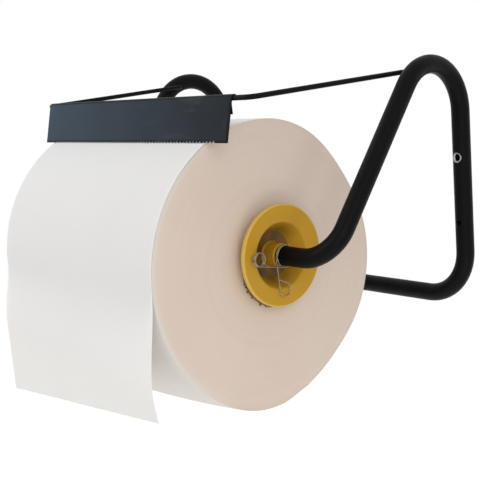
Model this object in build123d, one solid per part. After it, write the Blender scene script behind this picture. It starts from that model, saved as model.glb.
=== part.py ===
from build123d import *

import os
from math import acos, atan, atan2, cos, hypot, pi, radians, sin, sqrt, tan

# Wall-mounted paper roll holder, in millimetres.
# The wall is the plane Y = 0 with +Y into it, +Z is up and X = 0 is the middle of the frame.
# The origin is the centre of the four wall holes.

# Frame: one steel tube bent into two side loops, a crossbar and two inward spindles
tube_diameter = 19.0
tube_wall = 1.5
frame_width = 388.0           # between the centre lines of the uprights
spindle_reach = 221.0         # wall to spindle axis
spindle_drop = 39.3           # spindle axis below the middle of the wall holes
spindle_length = 75.0         # straight length of each spindle
arm_slope = 51.2              # rise of the sloping arms, degrees
arm_splay = 10.0              # each arm's lower end stands this far outside its upright
crossbar_drop = 76.5          # crossbar centre line below the spindle axis
spindle_bend_radius = 34.0
top_bend_radius = 50.0
bottom_bend_radius = 50.0

# Wall holes: one pair through each upright, the upper of each pair countersunk
wall_hole_spacing = 68.5
wall_hole_diameter = 5.5
countersink_diameter = 10.0
countersink_depth = 2.6

# Plugs in the open ends of the spindles
plug_head_length = 3.0
plug_stem_length = 12.0
plug_edge_round = 1.2
plug_fit = 0.05

# Cones that carry the roll
rim_diameter = 100.0
rim_thickness = 5.0
rim_edge_round = 1.5
mouth_round = 3.0             # where the rim's face turns into the recess
moulding_round = 2.0          # inside corners
hub_edge_round = 0.8
recess_mouth_radius = 32.6
recess_floor_radius = 23.4
recess_depth = 15.0           # below the inner edge of the rim's face
rim_dish = 2.0                # fall of the rim's face towards the recess
cone_wall = 2.6
floor_thickness = 3.0
hub_wall = 2.4
hub_setback = 1.3             # hub end below the rim's outer edge
nose_tip_radius = 24.0
nose_length = 24.0            # beyond the floor of the recess
hub_fit = 0.1                 # hub bore over the spindle

# Spring collars that hold the cones in along the spindles
collar_wire = 1.2
collar_pitch = 1.8
collar_fit = 0.3              # coil over the spindle
collar_gap = 2.2              # hub end to coil
collar_leg = 32.5             # spindle axis to the middle of a finger ring
leg_spread = 100.0            # angle between the two legs, degrees
finger_ring_radius = 6.5
finger_ring_turn = 450.0      # how far the wire runs round a finger ring, degrees
collar_slide_right = 22.7     # free way of each collar towards its bend
collar_slide_left = 3.2
collar_stop_gap = 0.7         # room left between collar and bend at the end of its slide

# Paper roll on its cardboard core, as wide as the room between the cones
roll_diameter = 283.0
roll_telescope = 6.2          # inner layers stand out this far on the right
core_bore_radius = 38.1
core_wall = 3.0
cone_standoff = 9.0           # end of the core to the back of a rim
core_seat_gap = 0.3           # core over the cones that it hangs on

# Free end of the paper, hanging in front
tail_thickness = 0.5
tail_gap = 0.3
tail_drop_left = 142.0        # below the axis of the roll
tail_drop_right = 123.0
tail_bow = 8.0                # how far the free end swings forward
tail_start_gap = 1.5          # from the teeth to the upper edge of the free layer

# Tear bar: a wire bail with a toothed plate folded over it
bail_wire = 5.0
bail_arm_length = 195.8       # pivot to the straight run of the wire
bail_inset = 12.0             # upright's centre line to the pivot end of an arm
bail_taper = 6.0              # how far each arm leans inwards along its length
bail_corner_radius = 9.0
bail_pin_bend_radius = 5.0
bail_pin_depth = 6.0          # how far a pin reaches into the tube
bail_pin_fit = 0.1
pivot_bend_angle = 22.8       # pivot past the start of the top bend, degrees
plate_end_right = 22.6        # end of the plate to the arm beside it
plate_end_left = 9.0
plate_thickness = 1.0
plate_fit = 0.05
front_flange = 41.0
front_lean = 16.0             # from square to the arms, degrees
rear_flange = 15.0
rear_setback = 9.0            # rear flange short of each end of the plate
tooth_pitch = 5.0
tooth_depth = 3.0
tooth_margin = 16.0           # plain ends of the toothed edge
tooth_gap = 0.4               # teeth over the free layer of paper

# Values that follow from the driving sizes
tube_radius = tube_diameter / 2
tube_bore_radius = tube_radius - tube_wall
half_width = frame_width / 2
leg_y = -tube_radius
spindle_y = -spindle_reach
spindle_z = -spindle_drop
bar_z = spindle_z - crossbar_drop
slope = radians(arm_slope)
loop_depth = leg_y - spindle_y
arm_run = hypot(arm_splay, loop_depth)
apex_z = spindle_z + arm_run * tan(slope)
spindle_turn = acos(-arm_splay / arm_run * cos(slope))
spindle_bend_x = half_width + arm_splay - spindle_bend_radius * tan(spindle_turn / 2)
spindle_end_x = spindle_bend_x - spindle_length

hub_bore_radius = tube_radius + hub_fit
hub_radius = hub_bore_radius + hub_wall
grip_radius = tube_radius + collar_fit + collar_wire / 2
grip_start = collar_gap - hub_setback + collar_wire / 2
grip_turn = 540 + leg_spread  # one and a half turns, then on to the second leg
rise_per_degree = collar_pitch / 360
grip_end = grip_start + grip_turn * rise_per_degree
rim_to_bend = grip_end + collar_wire / 2 + collar_stop_gap

recess_fall = (recess_mouth_radius - recess_floor_radius) / recess_depth
shell = cone_wall * hypot(1, recess_fall)  # wall of the funnel, measured along the radius
rim_to_core = rim_thickness + cone_standoff
shoulder_radius = recess_mouth_radius + shell - recess_fall * (rim_thickness - rim_dish)
seat_radius = recess_mouth_radius + shell - recess_fall * (rim_to_core - rim_dish)

roll_radius = roll_diameter / 2
core_radius = core_bore_radius + core_wall
roll_sag = core_bore_radius - seat_radius - core_seat_gap
roll_y = spindle_y
roll_z = spindle_z - roll_sag
rim_right = spindle_bend_x - rim_to_bend - collar_slide_right
rim_left = -spindle_bend_x + rim_to_bend + collar_slide_left
core_right = rim_right - rim_to_core
core_left = rim_left + rim_to_core
roll_right = core_right - roll_telescope
roll_left = core_left - roll_telescope
roll_width = roll_right - roll_left

bail_radius = bail_wire / 2
bail_pivot_x = half_width - bail_inset
bail_run_x = bail_pivot_x - bail_taper
fold_radius = bail_radius + plate_fit
plate_left = plate_end_left - bail_run_x
plate_right = bail_run_x - plate_end_right
plate_length = plate_right - plate_left


def pivot_point():
    """Right pin hole on the centre line of the top bend, as (x, y, z)."""
    turn = pi / 2 + slope
    angle = turn - radians(pivot_bend_angle)
    from_upright = top_bend_radius * (1 - cos(angle))
    centre_z = apex_z - top_bend_radius * tan(turn / 2)
    return (
        half_width + from_upright * arm_splay / arm_run,
        leg_y - from_upright * loop_depth / arm_run,
        centre_z + top_bend_radius * sin(angle),
    )


def tooth_line():
    """Teeth from the wire's centre, along the arm and across it towards the roll."""
    lean = radians(front_lean)
    middle = fold_radius + plate_thickness / 2
    along = middle * cos(lean) + front_flange * sin(lean)
    across = front_flange * cos(lean) - middle * sin(lean)
    return along, across


def tooth_touch():
    """Where the teeth come to rest over the roll and the arm's heading there, as (y, z, heading)."""
    _, pivot_y, pivot_z = pivot_point()
    along, across = tooth_line()
    reach = hypot(bail_arm_length + along, across)
    drop = atan2(across, bail_arm_length + along)
    rest_radius = roll_radius + tail_gap + tail_thickness + tooth_gap
    to_roll = hypot(roll_y - pivot_y, roll_z - pivot_z)
    bearing = atan2(roll_z - pivot_z, roll_y - pivot_y)
    corner = acos((reach**2 + to_roll**2 - rest_radius**2) / (2 * reach * to_roll))
    tooth_bearing = bearing - corner
    tooth_y = pivot_y + reach * cos(tooth_bearing)
    tooth_z = pivot_z + reach * sin(tooth_bearing)
    return tooth_y, tooth_z, tooth_bearing - drop


def wire_line():
    """Centre of the bail's straight run, as (y, z)."""
    _, pivot_y, pivot_z = pivot_point()
    heading = tooth_touch()[2]
    return pivot_y + bail_arm_length * cos(heading), pivot_z + bail_arm_length * sin(heading)


def round_bar(path, radius):
    """Solid round bar along a path."""
    return sweep(Plane(origin=path @ 0, z_dir=path % 0) * Circle(radius), path=path)


def along_x(radius, x_from, x_to, y, z):
    """Round bar along X between two stations."""
    return Pos((x_from + x_to) / 2, y, z) * Cylinder(radius, abs(x_to - x_from), rotation=(0, 90, 0))


def turned(corners, x, y, z, side):
    """Solid of revolution about X; corners are (distance outwards, radius, rounding) from (x, y, z)."""
    plane = Plane(origin=(x, y, z), x_dir=(side, 0, 0), z_dir=(0, -side, 0))
    points = [corner[:2] for corner in corners]
    rounds = [corner[2] for corner in corners]
    outline = make_face(FilletPolyline(*points, radius=rounds, close=True))
    return revolve(plane * outline, axis=Axis((x, y, z), (1, 0, 0)))


def frame_tube():
    """Bent tube with its wall holes and the holes for the tear bar's pins."""
    splayed = half_width + arm_splay
    path = FilletPolyline(
        (spindle_end_x, spindle_y, spindle_z),
        (splayed, spindle_y, spindle_z),
        (half_width, leg_y, apex_z),
        (half_width, leg_y, bar_z),
        (-half_width, leg_y, bar_z),
        (-half_width, leg_y, apex_z),
        (-splayed, spindle_y, spindle_z),
        (-spindle_end_x, spindle_y, spindle_z),
        radius=[
            spindle_bend_radius,
            top_bend_radius,
            bottom_bend_radius,
            bottom_bend_radius,
            top_bend_radius,
            spindle_bend_radius,
        ],
    )
    ring = Circle(tube_radius) - Circle(tube_bore_radius)
    swept = sweep(Plane(origin=path @ 0, z_dir=path % 0) * ring, path=path)
    tube = Solid(swept.shell())  # its faces then point outwards, whatever the bends
    pivot_x, pivot_y, pivot_z = pivot_point()
    for side in (1, -1):
        leg_x = side * half_width
        for level in (1, -1):
            hole = Cylinder(wall_hole_diameter / 2, 2 * tube_diameter, rotation=(90, 0, 0))
            tube -= Pos(leg_x, leg_y, level * wall_hole_spacing / 2) * hole
        sink = Cone(wall_hole_diameter / 2, countersink_diameter / 2, countersink_depth, rotation=(90, 0, 0))
        sink_y = leg_y - tube_radius + countersink_depth / 2
        tube -= Pos(leg_x, sink_y, wall_hole_spacing / 2) * sink
        pin_hole_end = side * (pivot_x - tube_diameter)
        tube -= along_x(bail_radius + bail_pin_fit, pin_hole_end, side * pivot_x, pivot_y, pivot_z)
    return tube


def spindle_plug(side):
    """Insert that closes the end of a spindle, with a rounded head."""
    end_x = side * spindle_end_x
    head = along_x(tube_radius, end_x - side * plug_head_length, end_x, spindle_y, spindle_z)
    outer_edge = head.edges().sort_by(Axis.X)[0 if side > 0 else -1]
    head = fillet(outer_edge, plug_edge_round)
    stem_radius = tube_bore_radius - plug_fit
    return head + along_x(stem_radius, end_x, end_x + side * plug_stem_length, spindle_y, spindle_z)


def cone(side, rim_x):
    """Moulded cone: dished rim, funnel, hollow nose and a hub on the spindle."""
    rim_radius = rim_diameter / 2
    floor = -rim_dish - recess_depth
    web_back = floor - floor_thickness
    nose_end = floor - nose_length
    nose_root_radius = recess_floor_radius + shell
    nose_fall = (nose_root_radius - nose_tip_radius) / nose_length
    web_radius = nose_root_radius - nose_fall * floor_thickness - cone_wall
    profile = [
        (-hub_setback, hub_bore_radius, 0),
        (-hub_setback, hub_radius, hub_edge_round),
        (floor, hub_radius, moulding_round),
        (floor, recess_floor_radius, moulding_round),
        (-rim_dish, recess_mouth_radius, mouth_round),
        (0, rim_radius, rim_edge_round),
        (-rim_thickness, rim_radius, rim_edge_round),
        (-rim_thickness, shoulder_radius, 0),
        (floor, nose_root_radius, 0),
        (nose_end, nose_tip_radius, 0),
        (nose_end, nose_tip_radius - cone_wall, 0),
        (web_back, web_radius, moulding_round),
        (web_back, hub_radius, moulding_round),
        (nose_end, hub_radius, 0),
        (nose_end, hub_bore_radius, 0),
    ]
    return turned(profile, rim_x, spindle_y, spindle_z, side)


def biarc(start, heading, end, end_heading):
    """Two arcs that leave start along heading and reach end along end_heading."""
    chord = end - start
    closing = chord.dot(heading + end_heading)
    spread = 1 - heading.dot(end_heading)
    step = (sqrt(closing**2 + 2 * spread * chord.dot(chord)) - closing) / (2 * spread)
    joint = (start + heading * step + end - end_heading * step) * 0.5
    first = TangentArc(start, joint, tangent=heading)
    return [first, TangentArc(joint, end, tangent=first % 1)]


def coil_stations(centre_y, centre_z, radius, first_angle, turn, first_x, hand):
    """Points and headings along a coil about X, about a quarter turn apart.

    The two ends head square to X; hand is 1 where the coil rises along X and -1 where it falls.
    """
    arcs = round(turn / 90)
    slope_along = hand * collar_pitch / (2 * pi * radius)
    stations = []
    for index in range(arcs + 1):
        turned_by = turn * index / arcs
        angle = radians(first_angle + turned_by)
        rise = 0 if index in (0, arcs) else slope_along
        point = Vector(
            first_x + hand * turned_by * rise_per_degree,
            centre_y + radius * cos(angle),
            centre_z + radius * sin(angle),
        )
        heading = Vector(rise, -sin(angle), cos(angle)).normalized()
        stations.append((point, heading))
    return stations


def coil_arcs(stations):
    """Arcs that run through the stations of a coil."""
    arcs = []
    for (point, heading), (next_point, next_heading) in zip(stations, stations[1:]):
        arcs += biarc(point, heading, next_point, next_heading)
    return arcs


def collar_path():
    """Wire of a spring collar about the spindle axis, X outwards from the rim, Y and Z as mounted.

    One leg runs down; the other runs forward, raised from square to it by the spread of the legs.
    """
    lift = 90 - leg_spread
    ring_offset = finger_ring_radius - grip_radius
    ring_rise = finger_ring_turn * rise_per_degree
    level_ring = coil_stations(
        -collar_leg, ring_offset, finger_ring_radius, -90 - finger_ring_turn, finger_ring_turn,
        grip_start + ring_rise, -1,
    )
    first_ring = [(point.rotate(Axis.X, lift), way.rotate(Axis.X, lift)) for point, way in level_ring]
    grip = coil_stations(0, 0, grip_radius, lift - 90, grip_turn, grip_start, 1)
    second_ring = coil_stations(
        ring_offset, -collar_leg, finger_ring_radius, 180, finger_ring_turn, grip_end, 1,
    )
    start, start_heading = first_ring[0]
    end, end_heading = second_ring[-1]
    edges = [Line(start - start_heading * collar_wire, start)]
    edges += coil_arcs(first_ring)
    edges.append(Line(first_ring[-1][0], grip[0][0]))
    edges += coil_arcs(grip)
    edges.append(Line(grip[-1][0], second_ring[0][0]))
    edges += coil_arcs(second_ring)
    edges.append(Line(end, end + end_heading * collar_wire))
    return Wire(edges)


def least_gap(path, diameter, samples=500, neighbour_diameters=3):
    """Least clear gap between stretches of a wire that are not neighbours along it."""
    points = [path @ (index / samples) for index in range(samples + 1)]
    apart = int(neighbour_diameters * diameter / path.length * samples) + 1
    nearest = min(
        (points[first] - points[second]).length
        for first in range(samples + 1)
        for second in range(first + apart, samples + 1)
    )
    return nearest - diameter


def collar(side, rim_x):
    """Spring collar on a spindle; the left one is the same piece turned over."""
    wire = round_bar(collar_path(), collar_wire / 2)
    if side < 0:
        wire = wire.rotate(Axis.Y, 180).rotate(Axis.X, 90)
    return Pos(rim_x, spindle_y, spindle_z) * wire


def roll_core():
    """Cardboard core, moved along with the inner layers."""
    corners = [
        (core_left, core_bore_radius, 0),
        (core_left, core_radius, 0),
        (core_right, core_radius, 0),
        (core_right, core_bore_radius, 0),
    ]
    return turned(corners, 0, roll_y, roll_z, 1)


def paper_roll():
    """Wound paper, its ends slightly telescoped to the right."""
    corners = [
        (core_left, core_radius, 0),
        (roll_left, roll_radius, 0),
        (roll_right, roll_radius, 0),
        (core_right, core_radius, 0),
    ]
    return turned(corners, 0, roll_y, roll_z, 1)


def tail_side(height, start_angle):
    """One face of the free layer at a height over the roll: round the roll, then hanging."""
    radius = roll_radius + height
    length = max(tail_drop_left, tail_drop_right)
    middle = roll_radius + tail_gap + tail_thickness / 2
    turn = 2 * atan(tail_bow / length)
    offset = height - tail_gap - tail_thickness / 2
    top = (radius * cos(start_angle), radius * sin(start_angle))
    wrap_angle = (start_angle + pi) / 2
    wrap = (radius * cos(wrap_angle), radius * sin(wrap_angle))
    tangent_point = (-radius, 0)
    bend = (-middle - tail_bow / 2 - offset * cos(turn), -length / 2 + offset * sin(turn))
    end = (-middle - tail_bow - offset, -length)
    round_roll = ThreePointArc(top, wrap, tangent_point)
    forward = TangentArc(tangent_point, bend, tangent=(0, -1))
    down = TangentArc(bend, end, tangent=forward % 1)
    return [round_roll, forward, down]


def paper_tail():
    """Free layer from the teeth over the front of the roll, torn off at a slant."""
    tooth_y, tooth_z, _ = tooth_touch()
    tooth_angle = atan2(tooth_z - roll_z, tooth_y - roll_y)
    start_angle = tooth_angle + tail_start_gap / roll_radius
    inner = tail_side(tail_gap, start_angle)
    outer = tail_side(tail_gap + tail_thickness, start_angle)
    top = Line(inner[0] @ 0, outer[0] @ 0)
    bottom = Line(inner[-1] @ 1, outer[-1] @ 1)
    section = make_face(inner + outer + [top, bottom])
    plane = Plane(origin=(roll_left, roll_y, roll_z), x_dir=(0, 1, 0), z_dir=(1, 0, 0))
    sheet = extrude(plane * section, roll_width)
    low = roll_z - 2 * max(tail_drop_left, tail_drop_right)
    torn = Polyline(
        (roll_left, roll_z - tail_drop_left),
        (roll_right, roll_z - tail_drop_right),
        (roll_right, low),
        (roll_left, low),
        close=True,
    )
    waste = extrude(Plane.XZ * make_face(torn), 2 * spindle_reach)
    return sheet - waste


def bail():
    """Wire bail: two arms beside the side loops, hooked outwards into the tube."""
    pivot_x, pivot_y, pivot_z = pivot_point()
    run_y, run_z = wire_line()
    pin_x = pivot_x - tube_radius + bail_pin_depth
    path = FilletPolyline(
        (pin_x, pivot_y, pivot_z),
        (bail_pivot_x, pivot_y, pivot_z),
        (bail_run_x, run_y, run_z),
        (-bail_run_x, run_y, run_z),
        (-bail_pivot_x, pivot_y, pivot_z),
        (-pin_x, pivot_y, pivot_z),
        radius=[bail_pin_bend_radius, bail_corner_radius, bail_corner_radius, bail_pin_bend_radius],
    )
    return round_bar(path, bail_radius)


def fold_outline():
    """Section of the folded plate about the wire: X along the arm, Y towards the roll."""
    front = radians(front_lean)
    front_down = Vector(sin(front), cos(front))
    front_out = Vector(cos(front), -sin(front))
    rear_down = Vector(0, 1)
    rear_out = Vector(-1, 0)
    crown = (front_out + rear_out - front_down - rear_down).normalized()
    outer = fold_radius + plate_thickness
    front_outer = front_out * outer
    front_inner = front_out * fold_radius
    rear_outer = rear_out * outer
    rear_inner = rear_out * fold_radius
    front_edge = front_down * front_flange
    rear_edge = rear_down * rear_flange
    return [
        Line(front_outer + front_edge, front_outer),
        ThreePointArc(front_outer, crown * outer, rear_outer),
        Line(rear_outer, rear_outer + rear_edge),
        Line(rear_outer + rear_edge, rear_inner + rear_edge),
        Line(rear_inner + rear_edge, rear_inner),
        ThreePointArc(rear_inner, crown * fold_radius, front_inner),
        Line(front_inner, front_inner + front_edge),
        Line(front_inner + front_edge, front_outer + front_edge),
    ]


def tooth_comb():
    """Waste between the teeth, X along the plate from its middle and Y down from the tips."""
    count = int((plate_length - 2 * tooth_margin) / tooth_pitch)
    start = -count * tooth_pitch / 2
    points = [(start, 0)]
    for index in range(count):
        points.append((start + (index + 0.5) * tooth_pitch, -tooth_depth))
        points.append((start + (index + 1) * tooth_pitch, 0))
    points += [(-start, tooth_depth), (start, tooth_depth)]
    return make_face(Polyline(*points, close=True))


def tear_plate():
    """Sheet folded over the wire, with a toothed front edge."""
    run_y, run_z = wire_line()
    tooth_y, tooth_z, heading = tooth_touch()
    arm = Vector(0, cos(heading), sin(heading))
    across = Vector(0, -sin(heading), cos(heading))
    plane = Plane(origin=(plate_left, run_y, run_z), x_dir=arm, z_dir=(1, 0, 0))
    plate = extrude(plane * make_face(fold_outline()), plate_length)
    notch = Pos(-rear_flange, rear_flange) * Rectangle(2 * rear_flange, 2 * rear_flange)
    plate -= extrude(plane * notch, rear_setback)
    plate -= extrude(plane.offset(plate_length) * notch, -rear_setback)
    lean = radians(front_lean)
    flange_down = arm * sin(lean) + across * cos(lean)
    comb_plane = Plane(
        origin=((plate_left + plate_right) / 2, tooth_y, tooth_z),
        x_dir=(1, 0, 0),
        z_dir=Vector(1, 0, 0).cross(flange_down),
    )
    return plate - extrude(comb_plane * tooth_comb(), 2 * plate_thickness, both=True)


nodes = {
    "frame_tube": frame_tube(),
    "spindle_plug_right": spindle_plug(1),
    "spindle_plug_left": spindle_plug(-1),
    "cone_right": cone(1, rim_right),
    "cone_left": cone(-1, rim_left),
    "collar_right": collar(1, rim_right),
    "collar_left": collar(-1, rim_left),
    "roll_core": roll_core(),
    "paper_roll": paper_roll(),
    "paper_tail": paper_tail(),
    "bail_wire": bail(),
    "tear_plate": tear_plate(),
}

os.makedirs("parts", exist_ok=True)
for name, solid in nodes.items():
    solid.label = name
    export_step(solid, f"parts/{name}.step")

_, pivot_y, pivot_z = pivot_point()
print(f"collar wire: least gap to itself {least_gap(collar_path(), collar_wire):.2f} mm")
print(f"roll: x {roll_left:.3f} to {roll_right:.3f}, width {roll_width:.2f} mm")
print(f"tear bar pivot: y {pivot_y:.3f}, z {pivot_z:.3f}")
print(f"roll axis: y {roll_y:.3f}, z {roll_z:.3f}")
print(f"rims: right x {rim_right:.3f}, left x {rim_left:.3f}")
print(f"core seat radius: {seat_radius:.3f} mm, spindle axis z {spindle_z:.3f}")
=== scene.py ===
"""Looks of a wall-mounted paper towel holder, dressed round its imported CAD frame."""

import logging
import math
from collections.abc import Callable, Iterator
from contextlib import contextmanager
from dataclasses import dataclass
from enum import Enum

import bmesh
import bpy
from mathutils import Matrix, Vector, noise


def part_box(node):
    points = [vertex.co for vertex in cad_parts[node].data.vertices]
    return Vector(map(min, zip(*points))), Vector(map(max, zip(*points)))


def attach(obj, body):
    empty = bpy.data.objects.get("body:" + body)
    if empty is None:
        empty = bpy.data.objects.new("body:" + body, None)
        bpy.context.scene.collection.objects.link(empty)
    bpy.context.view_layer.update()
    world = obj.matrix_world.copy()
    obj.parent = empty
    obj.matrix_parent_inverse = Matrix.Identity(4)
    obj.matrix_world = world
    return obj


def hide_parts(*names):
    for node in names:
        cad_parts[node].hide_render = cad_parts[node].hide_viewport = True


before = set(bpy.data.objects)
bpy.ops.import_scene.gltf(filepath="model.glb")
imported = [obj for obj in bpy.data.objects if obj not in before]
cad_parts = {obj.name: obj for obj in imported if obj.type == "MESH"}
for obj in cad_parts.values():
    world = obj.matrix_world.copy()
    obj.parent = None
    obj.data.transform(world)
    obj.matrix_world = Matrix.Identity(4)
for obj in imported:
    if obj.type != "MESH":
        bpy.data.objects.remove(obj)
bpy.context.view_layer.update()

log = logging.getLogger("holder")

Colour = tuple[float, float, float]
Point = tuple[float, float, float]
Pair = tuple[float, float]
Range = tuple[float, float]
Piece = bpy.types.Object
Socket = bpy.types.NodeSocket
Feed = Socket | float | Colour | tuple[float, float, float, float]

IMAGE_WIDTH = 480
QUAD = 4

# Points closer than this are merged, and edges longer than this run along the roll, in metres
MERGE_DISTANCE = 1e-6
LONG_EDGE = 0.1

# Sockets of the mix node that carry colours
MIX_FIRST, MIX_SECOND, MIX_RESULT = 6, 7, 2

# Angle round the roll where its front is, in degrees
FRONT = 180.0

# All values of a cloudy pattern, and the range that most of them are in
WHOLE: Range = (0.0, 1.0)
MIDDLE: Range = (0.3, 0.7)

# The two axes across a line along X, and across a line along Y
ACROSS_X: Point = (0.0, 1.0, 1.0)
ACROSS_Y: Point = (1.0, 0.0, 1.0)

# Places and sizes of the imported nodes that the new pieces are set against
PLUG_LOW, PLUG_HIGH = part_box("spindle_plug_right")
ROLL_LOW, ROLL_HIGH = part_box("paper_roll")
CORE_LOW, CORE_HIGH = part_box("roll_core")
SPINDLE_Y = (PLUG_LOW.y + PLUG_HIGH.y) / 2
SPINDLE_Z = (PLUG_LOW.z + PLUG_HIGH.z) / 2
TUBE_RADIUS = (PLUG_HIGH.z - PLUG_LOW.z) / 2
ROLL_Z = (ROLL_LOW.z + ROLL_HIGH.z) / 2
ROLL_RADIUS = (ROLL_HIGH.z - ROLL_LOW.z) / 2
CORE_RADIUS = (CORE_HIGH.z - CORE_LOW.z) / 2
CORE_LEFT = CORE_LOW.x
CORE_RIGHT = CORE_HIGH.x
TELESCOPE = CORE_LEFT - ROLL_LOW.x
ROLL_LEFT = ROLL_LOW.x
ROLL_RIGHT = CORE_RIGHT - TELESCOPE
SPINDLE: Point = (0.0, SPINDLE_Y, SPINDLE_Z)
ROLL_AXIS: Point = (0.0, SPINDLE_Y, ROLL_Z)


class Body(Enum):
    """Bodies of the frame that new pieces ride on."""

    FRAME = "frame"
    ROLL = "roll"
    RIGHT_COLLAR = "right_collar"
    LEFT_COLLAR = "left_collar"


class Slot(Enum):
    """Names of the record's material slots."""

    SPRING = "spring_steel"
    CORE = "core_board"
    WOUND = "wound_paper"
    LOOSE = "loose_paper"


class Side(Enum):
    """The two ends of the spindle line."""

    RIGHT = "right"
    LEFT = "left"


class Pick(Enum):
    """Kinds of element that are picked in edit mode."""

    FACES = "FACE"
    EDGES = "EDGE"


def smooth_step(value: float) -> float:
    """Ease from 0 to 1 with level ends."""
    held = min(1.0, max(0.0, value))
    return held * held * (3.0 - 2.0 * held)


def between(ends: Pair, share: float) -> float:
    """The value part of the way from one end to the other."""
    return ends[0] + (ends[1] - ends[0]) * share


def bell(offset: float, spread: float) -> float:
    """Height of a bell curve, 1 in its middle."""
    return math.exp(-(offset / spread) ** 2 / 2)


def clear_selection() -> None:
    """Leave object mode with nothing selected."""
    if bpy.context.mode != "OBJECT":
        bpy.ops.object.mode_set(mode="OBJECT")
    bpy.ops.object.select_all(action="DESELECT")


def select_only(piece: Piece) -> None:
    """Select one piece and make it the active one."""
    clear_selection()
    bpy.context.view_layer.objects.active = piece
    piece.select_set(True)


def settled(name: str) -> Piece:
    """Name the new active object and put its place into its mesh.

    Args:
        name: Name of the piece.

    Returns:
        The piece, at the origin, unturned and unscaled.
    """
    piece = bpy.context.object
    piece.name = name
    piece.data.name = name
    bpy.ops.object.transform_apply(location=True, rotation=True, scale=True)
    return piece


@contextmanager
def editing(piece: Piece) -> Iterator[None]:
    """Hold a piece open in edit mode with nothing picked.

    Args:
        piece: The piece to open.
    """
    select_only(piece)
    bpy.ops.object.mode_set(mode="EDIT")
    bpy.ops.mesh.select_all(action="DESELECT")
    yield
    bpy.ops.object.mode_set(mode="OBJECT")


def pick(piece: Piece, kind: Pick, test: Callable[..., bool]) -> None:
    """Pick the faces or edges of an open piece that pass a test.

    Args:
        piece: The piece that is open in edit mode.
        kind: Which kind of element to pick.
        test: Called with each face or edge.
    """
    bpy.ops.mesh.select_mode(type=kind.value)
    bpy.ops.mesh.select_all(action="DESELECT")
    mesh = bmesh.from_edit_mesh(piece.data)
    chosen = [e for e in (mesh.faces if kind is Pick.FACES else mesh.edges) if test(e)]
    for element in chosen:
        element.select_set(True)
    bmesh.update_edit_mesh(piece.data)


def runs_along(edge: bmesh.types.BMEdge) -> bool:
    """Whether an edge runs the length of the roll."""
    return abs(edge.verts[0].co.x - edge.verts[1].co.x) > LONG_EDGE


def many_sided(face: bmesh.types.BMFace) -> bool:
    """Whether a face has more corners than a quad."""
    return len(face.verts) > QUAD


def apply_modifier(piece: Piece, kind: str, **settings: float) -> None:
    """Add a modifier to a piece and apply it.

    Args:
        piece: The piece to change.
        kind: Blender's name of the modifier type.
        settings: Values for the modifier.
    """
    select_only(piece)
    modifier = piece.modifiers.new(kind.title(), kind)
    for name, value in settings.items():
        setattr(modifier, name, value)
    bpy.ops.object.modifier_apply(modifier=modifier.name)


def close_up(piece: Piece, crease: float) -> None:
    """Merge doubled points, turn the faces outwards and shade the piece.

    Args:
        piece: The piece to finish.
        crease: Edges sharper than this stay crisp, in degrees.
    """
    with editing(piece):
        bpy.ops.mesh.select_all(action="SELECT")
        bpy.ops.mesh.remove_doubles(threshold=MERGE_DISTANCE)
        bpy.ops.mesh.normals_make_consistent(inside=False)
    bpy.ops.object.shade_smooth_by_angle(angle=math.radians(crease))


def dress(piece: Piece, material: bpy.types.Material) -> None:
    """Give a piece one material all over."""
    piece.data.materials.clear()
    piece.data.materials.append(material)


def dress_node(node: str, material: bpy.types.Material) -> None:
    """Give a CAD node one material and report it."""
    dress(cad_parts[node], material)
    log.info("dressed %s in %s", node, material.name)


def stand_in(piece: Piece, node: str, body: Body) -> None:
    """Let a new piece stand for a CAD node and move with its body.

    Args:
        piece: The new piece.
        node: The CAD node that it replaces.
        body: The body that it rides on.
    """
    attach(piece, body.value)
    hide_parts(node)
    log.info("built %s for %s, %d faces", piece.name, node, len(piece.data.polygons))


@dataclass(frozen=True)
class Clouds:
    """A cloudy pattern: clouds to a metre, finer layers, and its scale along each axis."""

    scale: float
    detail: float
    stretch: Point | None = None


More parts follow.
